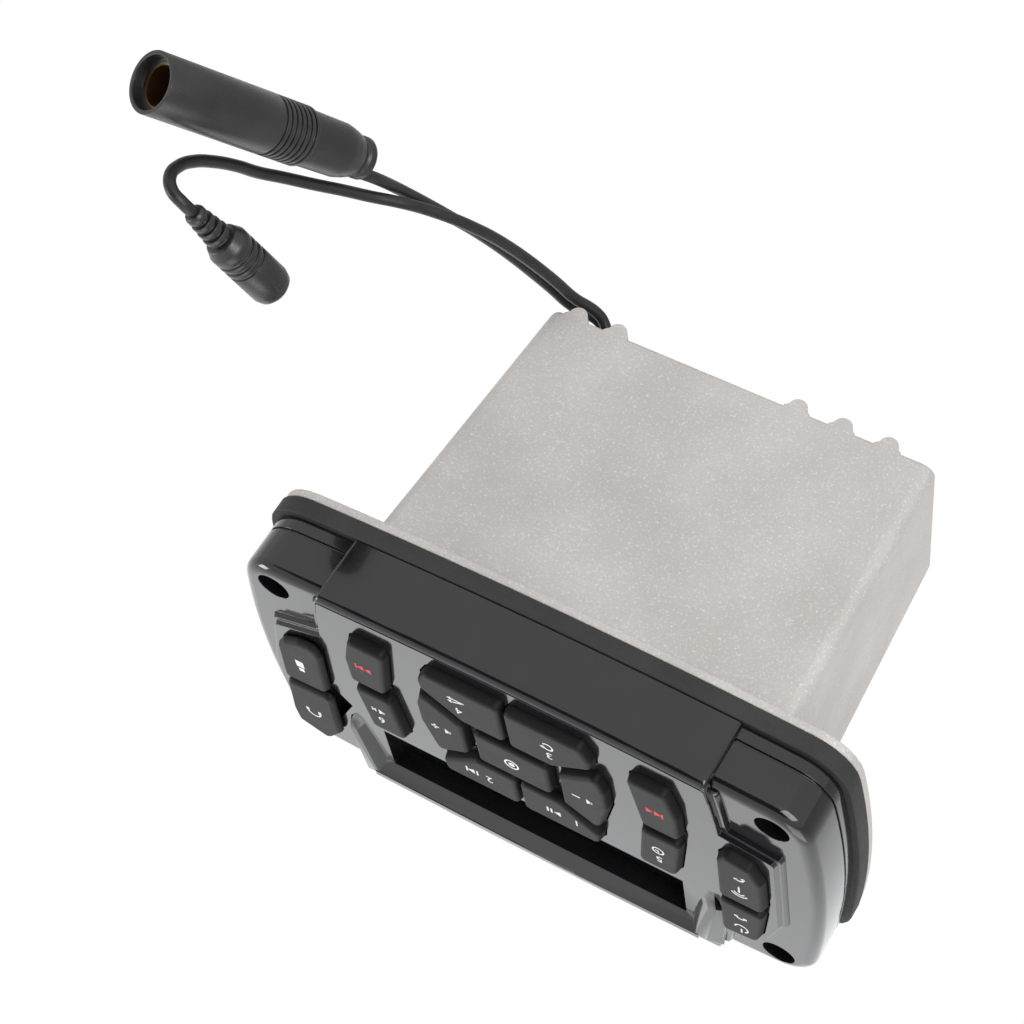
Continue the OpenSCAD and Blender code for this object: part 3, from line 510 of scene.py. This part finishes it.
class Glyph:
    """A key's legend, drawn flat from small primitives and then given its thickness."""

    RING_SIDES = 36
    TEXT_SIZE = 1.38
    MERGE = 1e-7

    def __init__(self, node: str, shift: Tuple[float, float] = (0.0, 0.0)) -> None:
        """Find the middle of a key's face.

        Args:
            node: The key's node.
            shift: Where the legend's middle lies from the key's, in mm across and up.
        """
        low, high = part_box(node)
        self.node = node
        self.x = (low[0] + high[0]) / 2 + shift[0] * MM
        self.z = (low[2] + high[2]) / 2 + shift[1] * MM
        self.y = low[1]
        self.parts: List[bpy.types.Object] = []

    def _keep(self, turn: float, size: Tuple[float, float]) -> None:
        """Take the new primitive, sized and turned, into the legend."""
        obj = bpy.context.view_layer.objects.active
        obj.scale = (size[0], size[1], 1.0)
        obj.rotation_euler = Matrix.Rotation(math.radians(90), 3, "X").to_euler()
        obj.rotation_euler.rotate_axis("Z", math.radians(turn))
        settle(obj)
        self.parts.append(obj)

    def at(self, u: float, v: float) -> Point:
        """Place on the key's face, from mm across and up."""
        return (self.x + u * MM, self.y, self.z + v * MM)

    def bar(self, u: float, v: float, wide: float, high: float, turn: float = 0.0) -> "Glyph":
        """Add a bar, in mm and degrees."""
        clear_selection()
        bpy.ops.mesh.primitive_plane_add(size=MM, location=self.at(u, v))
        self._keep(turn, (wide, high))
        return self

    def arrow(self, u: float, v: float, size: float, side: Side, tall: float = 1.0) -> "Glyph":
        """Add a triangle that points to a side."""
        clear_selection()
        bpy.ops.mesh.primitive_circle_add(vertices=3, radius=size * MM, fill_type="NGON",
                                          location=self.at(u, v))
        self._keep(-90.0 * side.value, (tall, 1.0))
        return self

    def ring(self, u: float, v: float, radius: float, thick: float,
             start: float = 0.0, end: float = 360.0) -> "Glyph":
        """Add a ring or a part of one.

        Args:
            u: Middle, mm across.
            v: Middle, mm up.
            radius: Outer radius in mm.
            thick: Width of the line in mm.
            start: First angle in degrees, from the right and anticlockwise.
            end: Last angle in degrees.

        Returns:
            The legend.
        """
        clear_selection()
        bpy.ops.mesh.primitive_circle_add(vertices=self.RING_SIDES, radius=radius * MM, fill_type="NGON",
                                          location=self.at(u, v))
        bpy.ops.object.mode_set(mode="EDIT")
        bpy.ops.mesh.inset(thickness=thick * MM)
        bpy.ops.mesh.delete(type="FACE")
        bpy.ops.object.mode_set(mode="OBJECT")
        mesh = bpy.context.view_layer.objects.active.data
        for face in mesh.polygons:
            angle = math.degrees(math.atan2(face.center.y, face.center.x)) % 360.0
            face.select = not (start <= angle <= end or start <= angle - 360.0 <= end)
        bpy.ops.object.mode_set(mode="EDIT")
        bpy.ops.mesh.delete(type="FACE")
        bpy.ops.object.mode_set(mode="OBJECT")
        self._keep(0.0, (1.0, 1.0))
        return self

    def digit(self, number: int, u: float, v: float, high: float) -> "Glyph":
        """Add a number, in mm."""
        clear_selection()
        bpy.ops.object.text_add(location=self.at(u, v))
        obj = bpy.context.view_layer.objects.active
        obj.data.body = str(number)
        obj.data.align_x = "CENTER"
        obj.data.align_y = "CENTER"
        obj.data.size = self.TEXT_SIZE * high * MM
        pick(obj)
        bpy.ops.object.convert(target="MESH")
        self._keep(0.0, (1.0, 1.0))
        return self

    def speaker(self, u: float, v: float) -> "Glyph":
        """Add a small loudspeaker."""
        self.bar(u - 0.75, v, 0.6, 1.0)
        return self.arrow(u, v, 1.1, Side.LEFT, 1.15)

    def handset(self, u: float, v: float, turn: float) -> "Glyph":
        """Add a telephone handset."""
        lean = math.radians(turn)
        self.ring(u, v, 1.7, 0.5, turn + 25.0, turn + 155.0)
        for side in (25.0, 155.0):
            angle = lean + math.radians(side)
            self.bar(u + 1.35 * math.cos(angle), v + 1.35 * math.sin(angle), 1.0, 0.75, turn)
        return self

    def finish(self, ink: Legend, paints: Dict[str, bpy.types.Material], thick: float = 0.06) -> None:
        """Join the strokes, give them thickness and put them on the key.

        Args:
            ink: The legend's colour.
            paints: Finishes by name.
            thick: Thickness of the print in mm.
        """
        obj = join(self.parts, f"{self.node}.{ink.value}")
        pick(obj)
        bpy.ops.object.mode_set(mode="EDIT")
        bpy.ops.mesh.select_all(action="SELECT")
        bpy.ops.mesh.remove_doubles(threshold=self.MERGE)
        bpy.ops.mesh.extrude_region_move(TRANSFORM_OT_translate={"value": (0.0, -thick * MM, 0.0)})
        bpy.ops.mesh.select_all(action="SELECT")
        bpy.ops.mesh.normals_make_consistent(inside=False)
        bpy.ops.object.mode_set(mode="OBJECT")
        put_on(obj, self.node, paints[ink.value])


@dataclass
class Keypad:
    """Generic legends on the keys and the covers."""

    number_high: float = 3.0

    def presets(self, paints: Dict[str, bpy.types.Material]) -> None:
        """Draw the numbers 1 to 6 and the signs beside them.

        Args:
            paints: Finishes by name.
        """
        ink = Legend.WHITE
        high = self.number_high
        one = Glyph("key_one").digit(1, -4.6, 0.0, high).arrow(0.6, 0.0, 1.3, Side.RIGHT)
        one.bar(2.6, 0.0, 0.55, 2.2).bar(3.7, 0.0, 0.55, 2.2).finish(ink, paints)
        two = Glyph("key_two").digit(2, -3.4, 0.0, high).bar(0.2, 0.0, 0.5, 2.4)
        two.arrow(1.7, 0.0, 1.3, Side.RIGHT).bar(3.3, 0.0, 0.5, 2.4).finish(ink, paints)
        three = Glyph("key_three").digit(3, 0.0, 2.2, high).ring(0.0, -2.2, 1.6, 0.45, 30.0, 330.0)
        three.arrow(1.5, -1.3, 0.8, Side.RIGHT).finish(ink, paints)
        four = Glyph("key_four").digit(4, 0.0, 2.2, high).bar(-0.4, -2.2, 3.6, 0.45, 24.0)
        four.bar(-0.4, -3.0, 3.6, 0.45).arrow(1.9, -1.4, 0.8, Side.RIGHT)
        four.arrow(1.9, -3.0, 0.8, Side.RIGHT).finish(ink, paints)
        five = Glyph("key_five").digit(5, 0.0, 3.0, high).ring(0.0, -1.8, 1.7, 0.4)
        five.bar(0.0, -1.35, 0.35, 1.0).bar(0.4, -1.8, 0.9, 0.35).finish(ink, paints)
        six = Glyph("key_six").digit(6, 0.0, 3.0, high).speaker(-0.6, -1.8)
        six.bar(1.5, -1.8, 1.9, 0.4, 45.0).bar(1.5, -1.8, 1.9, 0.4, -45.0).finish(ink, paints)

    def middle(self, paints: Dict[str, bpy.types.Material]) -> None:
        """Draw the signs of the middle key and the volume keys.

        Args:
            paints: Finishes by name.
        """
        ink = Legend.WHITE
        louder = Glyph("key_volume_up").speaker(-1.6, 0.0)
        louder.bar(1.9, 0.0, 2.2, 0.5).bar(1.9, 0.0, 0.5, 2.2).finish(ink, paints)
        Glyph("key_volume_down").speaker(-1.6, 0.0).bar(1.9, 0.0, 2.2, 0.5).finish(ink, paints)
        Glyph("key_select").ring(0.0, 0.0, 2.1, 0.5).ring(0.0, 0.0, 0.9, 0.8).finish(ink, paints)

    def ends(self, paints: Dict[str, bpy.types.Material]) -> None:
        """Draw the signs of the two end keys and the two covers.

        Args:
            paints: Finishes by name.
        """
        ink = Legend.WHITE
        band = Glyph("key_band").bar(0.0, 2.6, 0.45, 3.2).ring(0.0, 4.0, 1.6, 0.4, 25.0, 155.0)
        band.ring(0.0, 4.0, 2.6, 0.4, 35.0, 145.0).handset(0.0, -4.4, 35.0).finish(ink, paints)
        power = Glyph("key_power").ring(0.0, 3.2, 2.0, 0.45, 120.0, 420.0)
        power.bar(0.0, 4.6, 0.45, 2.2).handset(0.0, -4.2, 0.0).finish(ink, paints)
        Glyph("usb_cover").bar(0.0, 0.0, 2.4, 3.2).bar(0.0, 3.0, 1.6, 1.6).finish(ink, paints)
        aux = Glyph("aux_cover").ring(0.0, 0.0, 2.2, 0.5, 0.0, 180.0)
        aux.bar(-1.9, -0.6, 0.9, 1.7).bar(1.9, -0.6, 0.9, 1.7).finish(ink, paints)

    def skips(self, paints: Dict[str, bpy.types.Material]) -> None:
        """Draw the red skip signs.

        Args:
            paints: Finishes by name.
        """
        for node, side in (("key_previous", Side.LEFT), ("key_next", Side.RIGHT)):
            way = side.value
            skip = Glyph(node).bar(2.7 * way, 0.0, 0.5, 2.4).arrow(1.2 * way, 0.0, 1.35, side)
            skip.arrow(-1.0 * way, 0.0, 1.35, side).finish(Legend.RED, paints)

    def dress(self, paints: Dict[str, bpy.types.Material]) -> None:
        """Draw every legend.

        Args:
            paints: Finishes by name.
        """
        self.presets(paints)
        self.middle(paints)
        self.ends(paints)
        self.skips(paints)


@dataclass
class Lead:
    """A thin jacketed lead from the grommet to its plug."""

    node: str
    steps: Sequence[Point]
    length: float
    pieces: Sequence[str]
    diameter: float = 3.1

    def build(self, paints: Dict[str, bpy.types.Material]) -> None:
        """Args:
            paints: Finishes by name.
        """
        data = bpy.data.curves.new(f"{self.node}_jacket", "CURVE")
        data.dimensions = "3D"
        data.bevel_depth = self.diameter / 2 * MM
        data.bevel_resolution = 5
        data.resolution_u = 8
        data.use_fill_caps = True
        spline = data.splines.new("BEZIER")
        spline.bezier_points.add(len(self.steps) - 1)
        for point, step in zip(spline.bezier_points, self.steps):
            point.co = (LEAD_ROOT + Vector(step)) * MM
            point.handle_left_type = "AUTO"
            point.handle_right_type = "AUTO"
        obj = bpy.data.objects.new(f"{self.node}_jacket", data)
        bpy.context.scene.collection.objects.link(obj)
        put_on(obj, "radio", paints["lead_jacket"])
        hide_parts(self.node)


# The routes of the part's source: the middle of the outlet, and steps from it in mm
LEAD_ROOT = Vector((42.5, 88.6, -10.0))
ANTENNA_STEPS: Tuple[Point, ...] = (
    (0.0, 0.0, 1.8), (0.43, 2.91, 1.41), (1.65, 5.37, 0.31), (3.48, 7.02, -1.35), (5.63, 7.6, -3.3),
    (12.25, 6.0, -7.88), (16.98, 4.0, -15.87), (21.0, 1.7, -23.6), (24.64, -0.9, -31.3),
    (28.01, -3.8, -38.78), (31.28, -6.8, -45.74), (33.68, -9.1, -50.57), (35.83, -11.3, -55.14),
    (37.86, -13.7, -59.92), (40.5, -17.2, -66.62), (42.4, -20.4, -72.41), (43.8, -23.8, -78.1),
    (45.5, -26.3, -81.8)
)
JACK_STEPS: Tuple[Point, ...] = (
    (0.0, 0.0, -1.8), (0.33, 2.68, -2.22), (1.28, 4.95, -3.4), (2.69, 6.47, -5.18), (4.36, 7.0, -7.28),
    (10.39, 4.6, -14.75), (13.57, 2.8, -21.31), (16.64, 0.5, -28.26), (19.52, -2.0, -34.98),
    (22.11, -4.5, -40.98), (24.75, -7.3, -46.89), (27.42, -10.1, -52.02), (29.95, -12.7, -56.42),
    (32.8, -15.3, -60.38), (35.74, -17.8, -63.79), (38.13, -20.6, -67.34), (41.11, -23.1, -70.01),
    (44.1, -25.6, -72.48), (48.82, -30.5, -78.04), (53.21, -35.5, -83.57), (57.2, -40.4, -89.3),
    (60.01, -45.38, -95.26), (61.89, -49.75, -101.53), (63.45, -54.54, -107.39), (64.48, -59.43, -112.33),
    (64.61, -64.21, -115.75), (63.65, -68.39, -117.28), (61.24, -71.27, -116.58), (58.4, -71.9, -114.4),
    (57.0, -71.2, -111.0)
)
LEADS: Tuple[Lead, ...] = (
    Lead("antenna_lead", ANTENNA_STEPS, 0.1082, ("antenna_boot", "antenna_shell", "antenna_contact")),
    Lead("jack_lead", JACK_STEPS, 0.1743, ("jack_body", "jack_contact")),
)


FLOOR_PAPER = Moulded("floor_paper", (0.78, 0.78, 0.78), (0.82, 0.82, 0.82), (0.8, 0.9),
                      grain=300.0, blotch=2.0, strength=0.02)
CARD_BLACK = Moulded("card_black", (0.010, 0.010, 0.010), (0.016, 0.016, 0.016), (0.8, 0.9),
                     grain=300.0, blotch=3.0, strength=0.02)


@dataclass(frozen=True)
class Lamp:
    """A square soft lamp: its place, its target and its side in metres, and its power in watts."""

    name: str
    place: Point
    target: Point
    size: float
    power: float

    def hang(self) -> None:
        """Add the lamp to the scene."""
        data = bpy.data.lights.new(self.name, "AREA")
        data.size = self.size
        data.energy = self.power
        obj = bpy.data.objects.new(self.name, data)
        bpy.context.scene.collection.objects.link(obj)
        obj.location = self.place
        obj.rotation_euler = (Vector(self.target) - Vector(self.place)).to_track_quat("-Z", "Y").to_euler()


LAMPS: Tuple[Lamp, ...] = (
    Lamp("lamp_low", (-0.5, -0.15, -0.6), (0.0, 0.02, 0.0), 0.5, 3.7),
    Lamp("lamp_side", (0.62, -0.5, -0.1), (0.09, 0.04, -0.11), 0.25, 1.6),
    Lamp("lamp_front", (-0.5, -0.8, 0.35), (0.0, 0.0, 0.0), 0.6, 2.0),
)


@dataclass
class Studio:
    """Pale floor, soft light and the camera at the photograph's view."""

    floor_z: float = -0.75
    floor_size: float = 8.0
    eye: Point = (-0.1915, -0.2280, -0.5597)
    right: Point = (-0.851, 0.5132, 0.1111)
    down: Point = (-0.3882, -0.7574, 0.525)
    forward: Point = (0.3536, 0.4037, 0.8438)
    lens: float = 88.03
    bright: Point = (0.35, -0.40, 0.845)
    low: float = 0.5
    high: float = 1.35
    dim_below: float = -0.2
    tint: Colour = (0.985, 0.99, 1.0)
    sensor: float = 36.0
    card_at: Point = (-0.05, -0.58, -0.74)
    card_size: Tuple[float, float] = (1.3, 0.8)

    def floor(self) -> None:
        """Lay the floor."""
        clear_selection()
        bpy.ops.mesh.primitive_plane_add(size=self.floor_size, location=(0.0, 0.0, self.floor_z))
        obj = bpy.context.view_layer.objects.active
        obj.name = "studio_floor"
        bpy.ops.object.mode_set(mode="EDIT")
        bpy.ops.mesh.subdivide(number_cuts=3)
        bpy.ops.object.mode_set(mode="OBJECT")
        settle(obj)
        obj.data.materials.append(FLOOR_PAPER.make())

    def card(self) -> None:
        """Lay a dark card on the floor, on the camera's side, for the gloss edges to mirror."""
        clear_selection()
        bpy.ops.mesh.primitive_plane_add(size=1.0, location=self.card_at)
        obj = bpy.context.view_layer.objects.active
        obj.name = "studio_card"
        obj.scale = (*self.card_size, 1.0)
        settle(obj)
        obj.visible_camera = False
        obj.data.materials.append(CARD_BLACK.make())

    def world(self) -> None:
        """White for the camera, and a soft tent of light for the rest."""
        world = bpy.data.worlds.new("studio")
        bpy.context.scene.world = world
        world.use_nodes = True
        tree = world.node_tree
        tree.nodes.clear()
        out = tree.nodes.new("ShaderNodeOutputWorld")
        light = tree.nodes.new("ShaderNodeBackground")
        white = tree.nodes.new("ShaderNodeBackground")
        coords = tree.nodes.new("ShaderNodeTexCoord")
        height = tree.nodes.new("ShaderNodeVectorMath")
        height.operation = "DOT_PRODUCT"
        height.inputs[1].default_value = self.bright
        ramp = tree.nodes.new("ShaderNodeMapRange")
        set_range(ramp, self.dim_below, 1.0, self.low, self.high)
        tree.links.new(coords.outputs["Generated"], height.inputs[0])
        tree.links.new(height.outputs["Value"], ramp.inputs["Value"])
        light.inputs["Color"].default_value = (*self.tint, 1.0)
        tree.links.new(ramp.outputs["Result"], light.inputs["Strength"])
        mix = tree.nodes.new("ShaderNodeMixShader")
        path = tree.nodes.new("ShaderNodeLightPath")
        seen = tree.nodes.new("ShaderNodeMath")
        seen.operation = "MAXIMUM"
        white.inputs["Color"].default_value = (1.0, 1.0, 1.0, 1.0)
        tree.links.new(path.outputs["Is Camera Ray"], seen.inputs[0])
        tree.links.new(path.outputs["Is Transmission Ray"], seen.inputs[1])
        tree.links.new(seen.outputs[0], mix.inputs[0])
        tree.links.new(light.outputs[0], mix.inputs[1])
        tree.links.new(white.outputs[0], mix.inputs[2])
        tree.links.new(mix.outputs[0], out.inputs["Surface"])

    def camera(self) -> None:
        """Place the camera."""
        data = bpy.data.cameras.new("photo_view")
        data.sensor_width = self.sensor
        data.lens = self.lens
        obj = bpy.data.objects.new("photo_view", data)
        bpy.context.scene.collection.objects.link(obj)
        back = -Vector(self.forward).normalized()
        side = Vector(self.right).normalized()
        up = back.cross(side).normalized()
        side = up.cross(back)
        turn = Matrix((side, up, back)).transposed().to_4x4()
        obj.matrix_world = Matrix.Translation(Vector(self.eye)) @ turn
        bpy.context.scene.camera = obj

    def build(self) -> None:
        """Set the whole studio."""
        bpy.context.scene.view_settings.view_transform = "Standard"
        self.floor()
        self.card()
        self.world()
        for lamp in LAMPS:
            lamp.hang()
        self.camera()


def main() -> None:
    """Build every sub-assembly in order and report each piece."""
    logging.basicConfig(level=logging.INFO, format="%(message)s")
    clear_selection()
    paints = {finish.name: finish.make() for finish in FINISHES}
    Studio().build()
    for lead in LEADS:
        lead.build(paints)
    Casing().dress(paints)
    Keypad().dress(paints)


if __name__ == "__main__":
    main()
